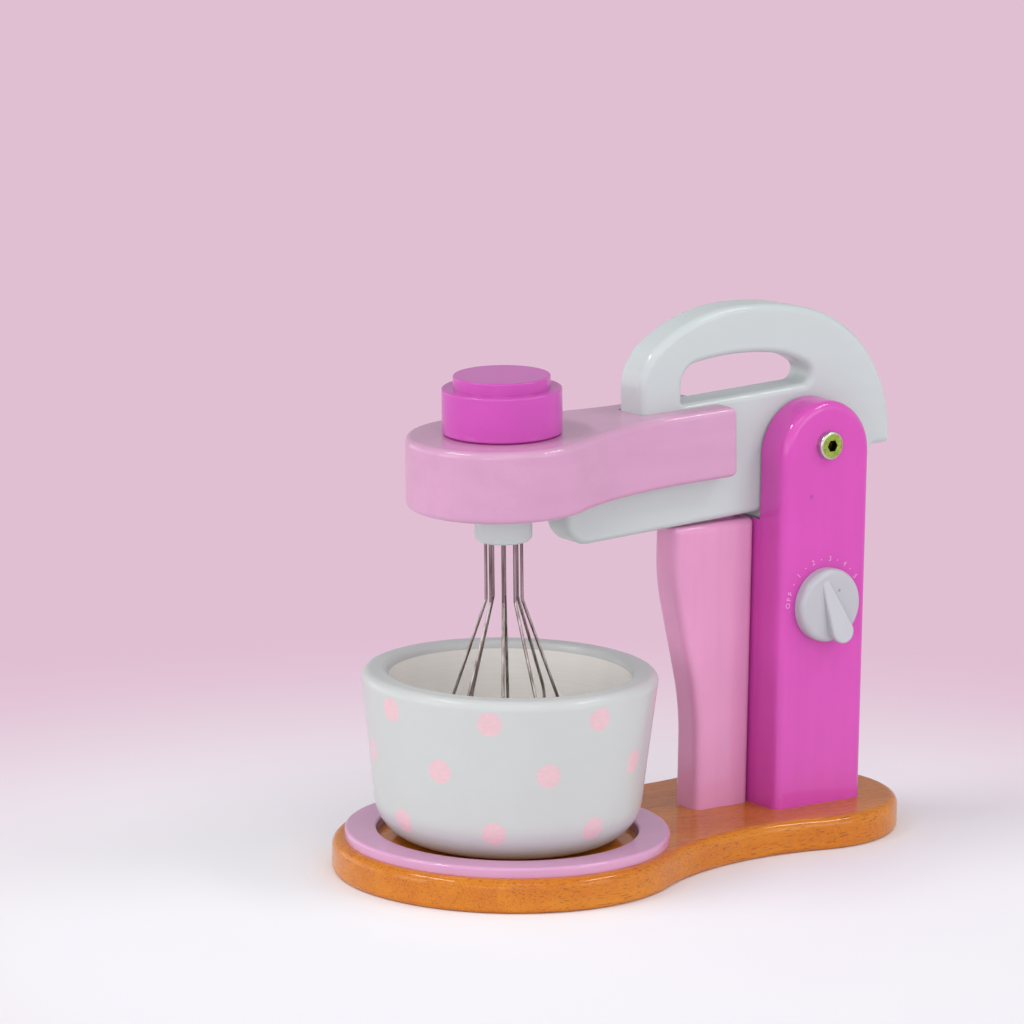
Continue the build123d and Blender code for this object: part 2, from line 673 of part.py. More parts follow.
with BuildPart() as dial_screw:
    with BuildSketch(dial_plane.offset(-stem_l - dial_washer_t)):
        Circle(dial_screw_head_r)
    extrude(amount=-dial_screw_head)
    fillet(dial_screw.faces().sort_by(Axis.Y)[-1].edges(), dial_screw_round)
    with BuildSketch(dial_plane.offset(-stem_l - dial_washer_t - dial_screw_head)):
        Rectangle(2 * cross_r, cross_w)
        Rectangle(cross_w, 2 * cross_r)
    extrude(amount=cross_depth, mode=Mode.SUBTRACT)
    with BuildSketch(dial_plane.offset(-stem_l - dial_washer_t)):
        Circle(dial_screw_r)
    extrude(amount=dial_washer_t + dial_screw_l - AIR)
save(dial_screw, "dial_screw")
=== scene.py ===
from math import cos, radians, sin

import bpy
from mathutils import Matrix, Quaternion, Vector


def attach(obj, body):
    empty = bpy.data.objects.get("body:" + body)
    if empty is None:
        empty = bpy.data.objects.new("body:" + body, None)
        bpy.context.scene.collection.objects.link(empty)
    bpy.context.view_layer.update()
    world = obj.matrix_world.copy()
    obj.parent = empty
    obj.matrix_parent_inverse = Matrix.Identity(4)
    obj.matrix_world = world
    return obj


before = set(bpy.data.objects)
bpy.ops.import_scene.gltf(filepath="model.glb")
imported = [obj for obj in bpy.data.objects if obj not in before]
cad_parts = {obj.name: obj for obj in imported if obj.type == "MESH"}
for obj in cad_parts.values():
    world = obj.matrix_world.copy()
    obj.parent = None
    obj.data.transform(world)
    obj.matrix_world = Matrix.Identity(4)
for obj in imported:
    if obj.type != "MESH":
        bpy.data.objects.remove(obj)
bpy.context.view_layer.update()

# A toy stand mixer in painted wood. Lengths are in metres, in the frame of the solids: X runs
# from the bowl to the column, -Y is the side with the dial, and Z is up.

# ---------------------------------------------------------------- camera and studio
CAMERA_AIM = Vector((0.0215, 0.0304, 0.1558))
CAMERA_DISTANCE = 2.8254
CAMERA_AZIMUTH = -35.831            # this and the next two are in degrees
CAMERA_ELEVATION = 11.659
CAMERA_ROLL = 0.975
CAMERA_LENS = 220.76
CAMERA_SENSOR = 36.0
CAMERA_CLIP = (0.1, 100.0)

FLOOR_SIZE = 60.0
FLOOR_NEAR = (244, 243, 246)        # under the object
FLOOR_NEAR_AT = (-0.03, -0.12, 0.0)
FLOOR_NEAR_R = 0.20                 # where the floor starts to turn pink
FLOOR_FAR_R = 0.60                  # where it is all pink
BACKDROP = (225, 191, 211)          # the floor further off, and what shows past its edge

SKY_COLOUR = (252, 251, 255)
SKY_RIM = 0.98                      # the world's strength at the horizon, at the sides
SKY_DROP = 0.62                     # how much darker it is overhead
SKY_TILT = 0.40                     # how much brighter it is in front, and darker behind
SKY_FRONT = (-0.50, -0.87, 0.0)

STUDIO_MIDDLE = Vector((0.06, 0.0, 0.12))
# Each lamp: where it stands (azimuth and height in degrees, distance), its width and height,
# and its power.
LAMPS = {
    "key_light": ((-44.0, 8.0, 2.3), (1.6, 0.8), 4.0),
    "top_light": ((-24.0, 52.0, 2.2), (0.9, 0.5), 3.4),
    "left_light": ((-100.0, 12.0, 2.2), (0.9, 1.2), 6.4),
    "right_light": ((24.0, 12.0, 2.2), (1.0, 1.2), 4.6),
    "haze_light": ((-148.0, 6.0, 2.2), (2.0, 0.9), 5.5),
    "edge_light_left": ((-108.0, 54.0, 1.8), (0.90, 0.20), 9.5),
    "edge_light_right": ((47.0, 49.0, 1.8), (0.80, 0.18), 6.0),
}

# ---------------------------------------------------------------- colours, as 8-bit sRGB
MAGENTA = (206, 74, 174)
# The knob's magenta is the cheeks' paint made a little darker, as painted shade.
KNOB_MAGENTA_SHADED = (194, 74, 172)
# The felt's dark magenta is painted shade in the gap under the knob.
FELT_SHADE_MAGENTA = (150, 40, 124)
PAINT_FLAW = (150, 60, 130)
POST_PINK = (218, 148, 188)
HEAD_PINK = (200, 149, 181)
RING_PINK = (208, 154, 190)
DOT_PINK = (219, 184, 190)
INK = (228, 150, 208)
ARM_WHITE = (192, 199, 198)
BOWL_WHITE = (193, 196, 194)
CREAM = (232, 230, 224)
VARNISH_LIGHT = (206, 127, 18)
VARNISH_DARK = (193, 107, 14)
BARE_LIGHT = (224, 190, 146)
BARE_DARK = (196, 154, 108)
PORE = (128, 62, 18)
ZINC_FACE = (164, 200, 88)
ZINC_RIM = (200, 204, 196)
# The dark in the bolt's hex socket is painted shade.
ZINC_SOCKET_SHADE = (44, 38, 22)
SCREW_ZINC = (170, 172, 176)
# The whisk wires' brownish dark and light patches are painted reflection.
WIRE_REFLECTION_DARK = (112, 100, 94)
WIRE_REFLECTION_LIGHT = (176, 170, 166)
# The washers' pink tint is painted reflection of the pink and magenta parts round them.
NYLON_PINK_REFLECTION = (222, 176, 206)
PLASTIC = (181, 181, 187)

# ---------------------------------------------------------------- surfaces
# A noise lies about 0.5. These parts of its range are stretched out to run from 0 to 1.
NARROW = (0.35, 0.65)
MIDDLE = (0.3, 0.7)
WIDE = (0.2, 0.8)

# How closely the patterns in the paint repeat.
CLOUD_SCALE = 38.0
PEEL_SCALE = 420.0
MOTTLE_SCALE = 1400.0

# How deep the bumps go.
PAINT_GRAIN_DEPTH = 0.00004
PEEL_DEPTH = 0.000012
DENT_DEPTH = 0.00018
PORE_DEPTH = 0.00003
WOOD_GRAIN_DEPTH = 0.00005
METAL_DEPTH = 0.00001
PLASTIC_DEPTH = 0.000006

# Roughness, from the smoothest places to the roughest.
PAINT_ROUGH = (0.40, 0.52)
WOOD_ROUGH = (0.38, 0.52)
BOLT_ROUGH = (0.20, 0.34)
SCREW_ROUGH = (0.28, 0.42)
WIRE_ROUGH = (0.10, 0.22)
PLASTIC_ROUGH_SPREAD = 0.06
PAINT_GLOSS_ROUGH = 0.03            # the clear coat on the paint, and on the wood
WOOD_GLOSS_ROUGH = 0.04
UNDER_GLOSS_SHINE = 0.12            # what the paint or wood under the clear coat reflects

STAVE_WIDTH = 0.052                 # the base board is glued up from staves along X
STAVE_SHIFT = 0.0093

# ---------------------------------------------------------------- places on the solids
CHEEK_FACE = -0.0274                # the near cheek's outer face
CHEEK_FRONT = 0.1312
CHEEK_TOUCH = 0.0108                # where the cheeks' flat fronts begin, either side of the core
BOARD_TOP = 0.015

PIVOT = (0.1562, 0.0, 0.1828)
# The bolt's tones, each from where it starts to show to where it is full; the socket's dark is
# painted shade.
BOLT_RIM = (0.0054, 0.0058)         # out from the bolt's axis
BOLT_SOCKET_SHADE = (0.0031, 0.0028)      # in towards the axis
BOLT_SHADE_MOUTH = (0.0302, 0.0298)       # in towards the column's middle

LIP_TOP = 0.1478                    # just under the arm, ahead of its disc
LIP_DEPTH = 0.0012
LIP_SET_BACK = 0.00002
LIP_ROUND = 0.00015

FELT_R = 0.0263
FELT_HOLE = 0.44                    # the hole, as a share of the felt
FELT_SLACK = 0.00002
FELT_SIDES = 96

DIAL_X, DIAL_Z = 0.1562, 0.109
MARK_R = 0.0208                     # how far the dial's marks stand from its middle
MARK_RISE = 0.00008                 # how proud the printed ink stands
MARK_DOT_R = 0.00032
MARK_DOT_SIDES = 20
LETTER_SIZE = 0.0033
LETTER_WEIGHT = 0.004 * LETTER_SIZE
LETTER_STEPS = 4                    # how finely the letters' curves are cut
# The dial's marks, as degrees clockwise from its top.
LETTERS = (("O", -86.5), ("F", -78.5), ("F", -71.0), ("1", -45.5), ("2", -18.8), ("3", 8.1),
           ("4", 33.5), ("5", 58.6))
MARK_DOTS = (-58.8, -32.0, -5.5, 20.6, 45.2)

DOT_ROWS = ((0.082, -133.5), (0.058, -109.5), (0.031, -131.5))     # height, and one dot's angle
DOT_PITCH = 45.0
DOT_R = 0.0055
DOT_EDGE = 0.00022                  # half the width over which a dot's edge fades
DOT_WOBBLE = 0.0002
BOWL_RIM = max((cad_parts["bowl"].matrix_world @ corner.co).z
               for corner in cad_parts["bowl"].data.vertices)
# The cream inside, from where it starts to show, going down, to where it is full.
CREAM_WALL = (BOWL_RIM - 0.0030, BOWL_RIM - 0.0034)
CREAM_FLOOR = (0.088, 0.084)

# Hollows and flaws: the middle, the radius, and how many times narrower it is along each axis.
HEAD_DENTS = (((0.0482, 0.0143, 0.2016), 0.0022, (1.0, 2.2, 1)),
              ((0.0500, 0.0100, 0.2017), 0.0018, (0.7, 1.6, 1)),
              ((0.0529, 0.0078, 0.2018), 0.0020, (1.6, 1.0, 1)))
TONGUE_DENTS = (((0.0487, -0.009, 0.1603), 0.0013),)
CHEEK_FLAW = ((0.1474, CHEEK_FACE, 0.1596), 0.0015)
DIAL_DARK_SPOT = ((0.1601, 0.0, 0.1159), 0.0009, (1, 0, 1))


def linear(colour):
    """An 8-bit sRGB colour as the linear RGBA that Blender's sockets take."""
    def one(value):
        share = value / 255
        return share / 12.92 if share <= 0.04045 else ((share + 0.055) / 1.055) ** 2.4
    return (*[one(value) for value in colour], 1.0)


def shade(colour, factor):
    """A colour made lighter or darker, as linear RGBA."""
    return (*[min(1.0, value * factor) for value in linear(colour)[:3]], 1.0)


def outward(azimuth, height):
    """The direction to a place in the studio, from its azimuth and height in degrees."""
    azimuth, height = radians(azimuth), radians(height)
    return Vector((sin(azimuth) * cos(height), -cos(azimuth) * cos(height), sin(height)))


# ---------------------------------------------------------------- shader nodes
def shader_node(tree, kind, inputs=None, **settings):
    """A node with its settings. An input is a plain value, or the socket that feeds it."""
    made = tree.nodes.new("ShaderNode" + kind)
    for name, value in settings.items():
        setattr(made, name, value)
    for name, value in (inputs or {}).items():
        feed(tree, made.inputs[name], value)
    return made


def feed(tree, socket, value):
    """Links a socket to the one that feeds it, or sets it to a plain value."""
    if isinstance(value, bpy.types.NodeSocket):
        tree.links.new(value, socket)
    else:
        socket.default_value = value


def new_material(name, **sockets):
    """A material with its Principled shader, whose plain values are set on its own sockets."""
    material = bpy.data.materials.new(name)
    material.use_nodes = True
    shader = material.node_tree.nodes["Principled BSDF"]
    for socket, value in sockets.items():
        shader.inputs[socket.replace("_", " ")].default_value = value
    return material, material.node_tree, shader


def surface(tree, shader, colour, roughness):
    """Gives the shader a colour and a roughness that change over the surface."""
    tree.links.new(colour, shader.inputs["Base Color"])
    tree.links.new(roughness, shader.inputs["Roughness"])


def place(tree, scale=(1, 1, 1), origin=(0, 0, 0)):
    """The piece's own coordinates, measured from an origin and stretched."""
    coords = shader_node(tree, "TexCoord").outputs["Object"]
    shift = tuple(-value * factor for value, factor in zip(origin, scale))
    made = shader_node(tree, "Mapping", {"Vector": coords, "Location": shift, "Scale": scale})
    return made.outputs["Vector"]


def axes(tree, vector):
    """A vector's parts, under the names X, Y and Z."""
    return shader_node(tree, "SeparateXYZ", {0: vector}).outputs


def length(tree, vector):
    return shader_node(tree, "VectorMath", {0: vector}, operation="LENGTH").outputs["Value"]


def dot_product(tree, first, second):
    made = shader_node(tree, "VectorMath", {0: first, 1: second}, operation="DOT_PRODUCT")
    return made.outputs["Value"]


def noise(tree, vector, scale, detail=2.0, roughness=0.5):
    made = shader_node(tree, "TexNoise", {"Vector": vector, "Scale": scale, "Detail": detail,
                                          "Roughness": roughness})
    return made.outputs["Fac"]


def ramp(tree, value, low, high, to_low=0.0, to_high=1.0, shape="LINEAR"):
    """A value's range from low to high, carried over to another range and held at its ends."""
    made = shader_node(tree, "MapRange", {"Value": value, "From Min": low, "From Max": high,
                                          "To Min": to_low, "To Max": to_high},
                       interpolation_type=shape)
    return made.outputs["Result"]


def maths(tree, operation, first, second=0.0):
    made = shader_node(tree, "Math", operation=operation)
    feed(tree, made.inputs[0], first)
    feed(tree, made.inputs[1], second)
    return made.outputs[0]


def strongest(tree, shares):
    """The highest of several values."""
    top = shares[0]
    for share in shares[1:]:
        top = maths(tree, "MAXIMUM", top, share)
    return top


def spot(tree, centre, radius, stretch=(1, 1, 1)):
    """A small soft-edged spot, 1 in its middle."""
    away = length(tree, place(tree, stretch, centre))
    return ramp(tree, away, radius, 0.55 * radius)


def blend_colours(tree, share, first, second):
    """Two colours or colour sockets, mixed by a share."""
    made = shader_node(tree, "Mix", data_type="RGBA")
    for index, value in ((0, share), (6, first), (7, second)):
        feed(tree, made.inputs[index], value)
    return made.outputs[2]


def blend_shaders(tree, share, first, second, output):
    """Two shader nodes, mixed by a share into the tree's output node."""
    mixed = shader_node(tree, "MixShader", {0: share, 1: first.outputs[0],
                                            2: second.outputs[0]})
    tree.links.new(mixed.outputs[0], tree.nodes[output].inputs["Surface"])


def bump(tree, shader, *layers):
    """Bumps of (height socket, depth in metres), one on the other, into the shader's normal."""
    normal = None
    for height, depth in layers:
        made = shader_node(tree, "Bump", {"Height": height, "Distance": depth, "Strength": 1.0})
        if normal:
            tree.links.new(normal, made.inputs["Normal"])
        normal = made.outputs["Normal"]
    tree.links.new(normal, shader.inputs["Normal"])
    return normal


# ---------------------------------------------------------------- materials
def gloss_paint(name, colour, grain, overlay=None, dents=(), clear=0.85, unevenness=0.04):
    """Sprayed paint on wood under a clear gloss, with orange peel and faint grain in it."""
    material, tree, shader = new_material(name, Coat_Weight=clear,
                                          Coat_Roughness=PAINT_GLOSS_ROUGH,
                                          Specular_IOR_Level=UNDER_GLOSS_SHINE)
    deep, pale = shade(colour, 1 - unevenness), shade(colour, 1 + unevenness)
    flat = place(tree)
    streaks = noise(tree, place(tree, grain), 1.0, 3.0, 0.55)
    cloud = noise(tree, flat, CLOUD_SCALE)
    mottle = noise(tree, flat, MOTTLE_SCALE)
    peel = noise(tree, flat, PEEL_SCALE, 1.0)
    tone = maths(tree, "ADD", maths(tree, "MULTIPLY", streaks, 0.5),
                 maths(tree, "MULTIPLY", cloud, 0.5))
    paint = blend_colours(tree, ramp(tree, tone, 0.38, 0.62), deep, pale)
    paint = blend_colours(tree, ramp(tree, mottle, *MIDDLE, 0.0, 0.5), paint, deep)
    if overlay:
        paint = overlay(tree, paint)
    surface(tree, shader, paint, ramp(tree, cloud, *MIDDLE, *PAINT_ROUGH))
    layers = [(streaks, PAINT_GRAIN_DEPTH), (peel, PEEL_DEPTH)]
    if dents:
        hollows = strongest(tree, [spot(tree, *dent) for dent in dents])
        layers.append((maths(tree, "MULTIPLY", hollows, -1.0), DENT_DEPTH))
    normal = bump(tree, shader, *layers)
    tree.links.new(normal, shader.inputs["Coat Normal"])
    return material


def cheek_flaw(tree, paint):
    """A faint flaw in the near cheek's paint, above the dial."""
    share = maths(tree, "MULTIPLY", spot(tree, *CHEEK_FLAW), 0.55)
    return blend_colours(tree, share, paint, linear(PAINT_FLAW))


def bowl_dots(tree, parts, out):
    """1 within the dots, which stand an even angle apart in each row, and 0 round them."""
    turn = maths(tree, "ARCTAN2", parts["Y"], parts["X"])
    wobble = ramp(tree, noise(tree, place(tree), 200.0), *MIDDLE, -DOT_WOBBLE, DOT_WOBBLE)
    pitch = radians(DOT_PITCH)
    dots = []
    for height, angle in DOT_ROWS:
        steps = maths(tree, "DIVIDE", maths(tree, "SUBTRACT", turn, radians(angle) - pitch / 2),
                      pitch)
        cell = maths(tree, "SUBTRACT", maths(tree, "FRACT", steps), 0.5)
        across = maths(tree, "MULTIPLY", maths(tree, "MULTIPLY", cell, pitch), out)
        rise = maths(tree, "SUBTRACT", parts["Z"], height)
        away = maths(tree, "SQRT", maths(tree, "ADD", maths(tree, "MULTIPLY", across, across),
                                         maths(tree, "MULTIPLY", rise, rise)))
        dots.append(ramp(tree, maths(tree, "ADD", away, wobble), DOT_R + DOT_EDGE,
                         DOT_R - DOT_EDGE))
    return strongest(tree, dots)


def bowl_finish(tree, paint):
    """Painted dots in three rows round the outside, and a cream inside with turning lines."""
    parts = axes(tree, place(tree))
    flat = place(tree, (1, 1, 0))
    out = length(tree, flat)
    normal = shader_node(tree, "TexCoord").outputs["Normal"]
    facing = maths(tree, "DIVIDE", dot_product(tree, flat, normal), out)
    patches = noise(tree, place(tree, (1, 1, 2)), 330.0, 3.0, 0.6)
    dot_paint = blend_colours(tree, ramp(tree, patches, *NARROW), shade(DOT_PINK, 0.97),
                              shade(DOT_PINK, 1.03))
    outer_wall = ramp(tree, facing, 0.25, 0.45)
    dotted = blend_colours(tree, maths(tree, "MULTIPLY", bowl_dots(tree, parts, out),
                                       outer_wall), paint, dot_paint)
    upward = axes(tree, normal)["Z"]
    inner_floor = maths(tree, "MULTIPLY", ramp(tree, upward, *MIDDLE),
                        ramp(tree, parts["Z"], *CREAM_FLOOR))
    inner_wall = maths(tree, "MULTIPLY", ramp(tree, facing, -0.15, -0.5),
                       ramp(tree, parts["Z"], *CREAM_WALL))
    rings = noise(tree, place(tree, (15, 15, 1500)), 1.0)
    lining = blend_colours(tree, ramp(tree, rings, *NARROW), shade(CREAM, 0.98),
                           shade(CREAM, 1.01))
    return blend_colours(tree, strongest(tree, [inner_wall, inner_floor]), dotted, lining)


def wood(name, light, dark, gloss):
    """Straight-grained wood with fine open pores, along X, glued up from staves."""
    material, tree, shader = new_material(name, Coat_Weight=gloss,
                                          Coat_Roughness=WOOD_GLOSS_ROUGH,
                                          Specular_IOR_Level=UNDER_GLOSS_SHINE)
    across = maths(tree, "ADD", axes(tree, place(tree))["Y"], STAVE_SHIFT)
    stave = maths(tree, "FLOOR", maths(tree, "DIVIDE", across, STAVE_WIDTH))
    odd = shader_node(tree, "TexWhiteNoise", {"W": stave}, noise_dimensions="1D")
    odd = odd.outputs["Value"]
    offset = shader_node(tree, "CombineXYZ", {"X": maths(tree, "MULTIPLY", odd, 3.0), "Y": odd})
    coords = shader_node(tree, "VectorMath", {0: place(tree), 1: offset.outputs[0]},
                         operation="ADD").outputs["Vector"]

    def grain(stretch, detail, roughness):
        fitted = shader_node(tree, "Mapping", {"Vector": coords, "Scale": stretch})
        return noise(tree, fitted.outputs["Vector"], 1.0, detail, roughness)

    broad = grain((6, 80, 80), 4.0, 0.6)
    fine = grain((40, 700, 700), 3.0, 0.6)
    pores = grain((150, 1700, 1700), 1.0, 0.4)
    speckle = grain((700, 1300, 1300), 1.0, 0.5)
    tone = blend_colours(tree, ramp(tree, broad, 0.36, 0.64), linear(dark), linear(light))
    tone = blend_colours(tree, ramp(tree, fine, 0.35, 0.7, 0.0, 0.5), tone, linear(dark))
    tone = blend_colours(tree, ramp(tree, odd, 0.0, 1.0, 0.0, 0.10), tone, shade(light, 1.10))
    tone = blend_colours(tree, ramp(tree, speckle, 0.52, 0.66, 0.0, 0.30), tone,
                         shade(light, 1.18))
    open_pores = ramp(tree, pores, 0.58, 0.70)
    tone = blend_colours(tree, maths(tree, "MULTIPLY", open_pores, 0.6), tone, linear(PORE))
    surface(tree, shader, tone, ramp(tree, fine, *MIDDLE, *WOOD_ROUGH))
    sunk = maths(tree, "MULTIPLY", open_pores, -1.0)
    bump(tree, shader, (sunk, PORE_DEPTH), (broad, WOOD_GRAIN_DEPTH))
    return material


def bolt_zinc():
    """Yellow zinc on the flange's face, silvery at its rim, and dark in the socket as painted
    shade.
    """
    material, tree, shader = new_material("yellow_zinc", Metallic=1.0)
    out = length(tree, place(tree, (1, 0, 1), PIVOT))
    sideways = maths(tree, "ABSOLUTE", axes(tree, place(tree))["Y"])
    tint = noise(tree, place(tree), 700.0, 3.0)
    face = blend_colours(tree, ramp(tree, tint, *NARROW), shade(ZINC_FACE, 0.8),
                         shade(ZINC_FACE, 1.2))
    plated = blend_colours(tree, ramp(tree, out, *BOLT_RIM), face, linear(ZINC_RIM))
    # Painted shade: dark down in the hex socket.
    socket = maths(tree, "MULTIPLY", ramp(tree, out, *BOLT_SOCKET_SHADE),
                   ramp(tree, sideways, *BOLT_SHADE_MOUTH))
    turned = noise(tree, place(tree, (1, 40, 1), PIVOT), 900.0)
    surface(tree, shader, blend_colours(tree, socket, plated, linear(ZINC_SOCKET_SHADE)),
            ramp(tree, turned, *MIDDLE, *BOLT_ROUGH))
    bump(tree, shader, (turned, METAL_DEPTH))
    return material


def screw_zinc():
    """Zinc-plated steel with fine scratches."""
    material, tree, shader = new_material("screw_zinc", Metallic=1.0,
                                          Base_Color=linear(SCREW_ZINC))
    scratches = noise(tree, place(tree, (60, 60, 60)), 20.0, 3.0, 0.6)
    tree.links.new(ramp(tree, scratches, *MIDDLE, *SCREW_ROUGH), shader.inputs["Roughness"])
    bump(tree, shader, (scratches, METAL_DEPTH))
    return material


def wire_steel():
    """Drawn wire, with brownish dark and light patches along its length as painted reflection."""
    material, tree, shader = new_material("whisk_wire", Metallic=1.0)
    along = noise(tree, place(tree, (500, 500, 30)), 1.0, 3.0, 0.6)
    # The dark and light patches along the wire are painted reflection.
    surface(tree, shader,
            blend_colours(tree, ramp(tree, along, *NARROW), linear(WIRE_REFLECTION_DARK),
                          linear(WIRE_REFLECTION_LIGHT)),
            ramp(tree, along, *MIDDLE, *WIRE_ROUGH))
    bump(tree, shader, (along, METAL_DEPTH))
    return material


def moulded(name, colour, roughness, dark_spot=None):
    """An even, soft surface with a faint cloud and, where it says so, one small dark spot."""
    material, tree, shader = new_material(name)
    cloud = noise(tree, place(tree), 90.0)
    body = blend_colours(tree, ramp(tree, cloud, *WIDE), shade(colour, 0.985),
                         shade(colour, 1.015))
    if dark_spot:
        share = maths(tree, "MULTIPLY", spot(tree, *dark_spot), 0.6)
        body = blend_colours(tree, share, body, shade(colour, 0.35))
    surface(tree, shader, body,
            ramp(tree, cloud, *WIDE, roughness, roughness + PLASTIC_ROUGH_SPREAD))
    bump(tree, shader, (cloud, PLASTIC_DEPTH))
    return material


# ---------------------------------------------------------------- the finish of each solid
GRAIN_ALONG_X = (7, 130, 130)
GRAIN_ALONG_Z = (130, 130, 7)
CHEEK_PAINT = gloss_paint("magenta_paint_upright", MAGENTA, GRAIN_ALONG_Z, cheek_flaw)
# The knob's paint is a darker copy of the cheeks' magenta, as painted shade.
KNOB_PAINT_SHADED = gloss_paint("magenta_paint_knob", KNOB_MAGENTA_SHADED, GRAIN_ALONG_X)
POST_PAINT = gloss_paint("pink_paint_upright", POST_PINK, GRAIN_ALONG_Z)
HEAD_PAINT = gloss_paint("pink_paint_head", HEAD_PINK, GRAIN_ALONG_X, dents=HEAD_DENTS)
RING_PAINT = gloss_paint("pale_pink_paint", RING_PINK, GRAIN_ALONG_X)
ARM_PAINT = gloss_paint("white_paint", ARM_WHITE, GRAIN_ALONG_X, dents=TONGUE_DENTS, clear=0.6,
                        unevenness=0.015)
BOWL_PAINT = gloss_paint("white_paint_bowl", BOWL_WHITE, GRAIN_ALONG_X, bowl_finish, clear=0.5,
                         unevenness=0.012)
VARNISHED = wood("varnished_wood", VARNISH_LIGHT, VARNISH_DARK, 0.6)
BARE = wood("bare_wood", BARE_LIGHT, BARE_DARK, 0.0)
BOLT_ZINC = bolt_zinc()
SCREW_STEEL = screw_zinc()
WIRE_STEEL = wire_steel()
# The washers' pink tint is painted reflection.
WASHER = moulded("washer_nylon", NYLON_PINK_REFLECTION, 0.4)
DIAL_PLASTIC = moulded("dial_plastic", PLASTIC, 0.20, DIAL_DARK_SPOT)
MARK_INK = moulded("mark_ink", INK, 0.35)
# The felt's dark magenta is painted shade.
FELT_AS_SHADE = moulded("felt", FELT_SHADE_MAGENTA, 0.8)

FINISHES = {
    CHEEK_PAINT: ("cheek_near", "cheek_far", "column_core"),
    KNOB_PAINT_SHADED: ("knob_collar", "knob_cap"),
    POST_PAINT: ("front_post",),
    HEAD_PAINT: ("head_block",),
    RING_PAINT: ("bowl_ring",),
    ARM_PAINT: ("arm", "whisk_hub"),
    BOWL_PAINT: ("bowl",),
    VARNISHED: ("base_board",),
    BARE: ("column_dowels", "whisk_shaft"),
    BOLT_ZINC: ("pivot_sleeve_nut", "pivot_screw"),
    SCREW_STEEL: ("base_screws", "head_screws", "dial_screw"),
    WIRE_STEEL: ("whisk_loop_1", "whisk_loop_2", "whisk_loop_3", "whisk_loop_4"),
    WASHER: ("pivot_washer_near", "pivot_washer_far", "knob_washer", "hub_washer",
             "dial_washer"),
    DIAL_PLASTIC: ("dial",),
}


def coat(piece, finish):
    """Gives a piece its one material."""
    piece.data.materials.clear()
    piece.data.materials.append(finish)


def finish_solids():
    for finish, node_names in FINISHES.items():
        for node_name in node_names:
            coat(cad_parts[node_name], finish)


# ---------------------------------------------------------------- work at the bench
def pick(pieces):
    """Selects these pieces and no others, with the first of them active."""
    bpy.ops.object.select_all(action="DESELECT")
    for piece in pieces:
        piece.select_set(True)
    bpy.context.view_layer.objects.active = pieces[0]


def settle(piece):
    """Moves a piece's place and turn into its mesh."""
    pick([piece])
    bpy.ops.object.transform_apply(location=True, rotation=True, scale=True)


def round_edges(size, segments):
    """Rounds every edge of the active piece."""
    bpy.ops.object.mode_set(mode="EDIT")
    bpy.ops.mesh.select_all(action="SELECT")
    bpy.ops.mesh.bevel(offset=size, segments=segments, affect="EDGES")
    bpy.ops.object.mode_set(mode="OBJECT")


# ---------------------------------------------------------------- the dial's printed marks
def on_dial(angle):
    """The place and turn of a mark on the near cheek, upright at its own angle."""
    middle = Matrix.Translation((DIAL_X, CHEEK_FACE, DIAL_Z))
    spin = Matrix.Rotation(radians(angle), 4, "Y")
    stand = Matrix.Rotation(radians(90), 4, "X")
    return middle @ spin @ Matrix.Translation((0, 0, MARK_R)) @ stand


def printed_letter(letter, angle):
    bpy.ops.object.text_add()
    text = bpy.context.object
    text.data.body = letter
    text.data.size = LETTER_SIZE
    text.data.align_x = "CENTER"
    text.data.align_y = "CENTER"
    text.data.offset = LETTER_WEIGHT
    text.data.extrude = MARK_RISE
    text.data.resolution_u = LETTER_STEPS
    text.matrix_world = on_dial(angle)
    bpy.ops.object.convert(target="MESH")
    return bpy.context.object


def printed_dot(angle):
    bpy.ops.mesh.primitive_cylinder_add(vertices=MARK_DOT_SIDES, radius=MARK_DOT_R,
                                        depth=2 * MARK_RISE)
    dot = bpy.context.object
    round_edges(MARK_RISE * 0.5, 2)
    dot.matrix_world = on_dial(angle)
    return dot


def add_marks():
    """Thin raised ink on the near cheek: OFF, 1 to 5, and a dot between each two."""
    marks = [printed_letter(letter, angle) for letter, angle in LETTERS]
    marks += [printed_dot(angle) for angle in MARK_DOTS]
    for piece in marks:
        settle(piece)
    pick(marks)
    bpy.ops.object.join()
    scale = bpy.context.object
    scale.name = "dial_marks"
    coat(scale, MARK_INK)
    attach(scale, "stand")


# ---------------------------------------------------------------- the column's front
def add_front_lip():
    """A slim painted lip that carries the core's front up to the arm, level with the cheeks."""
    bpy.ops.mesh.primitive_cube_add(size=1.0)
    lip = bpy.context.object
    lip.name = "column_front_lip"
    lip.scale = (LIP_DEPTH, 2 * CHEEK_TOUCH, LIP_TOP - BOARD_TOP)
    lip.location = (CHEEK_FRONT + LIP_SET_BACK + LIP_DEPTH / 2, 0, (LIP_TOP + BOARD_TOP) / 2)
    settle(lip)
    round_edges(LIP_ROUND, 3)
    bpy.ops.object.shade_smooth_by_angle()
    coat(lip, CHEEK_PAINT)
    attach(lip, "stand")


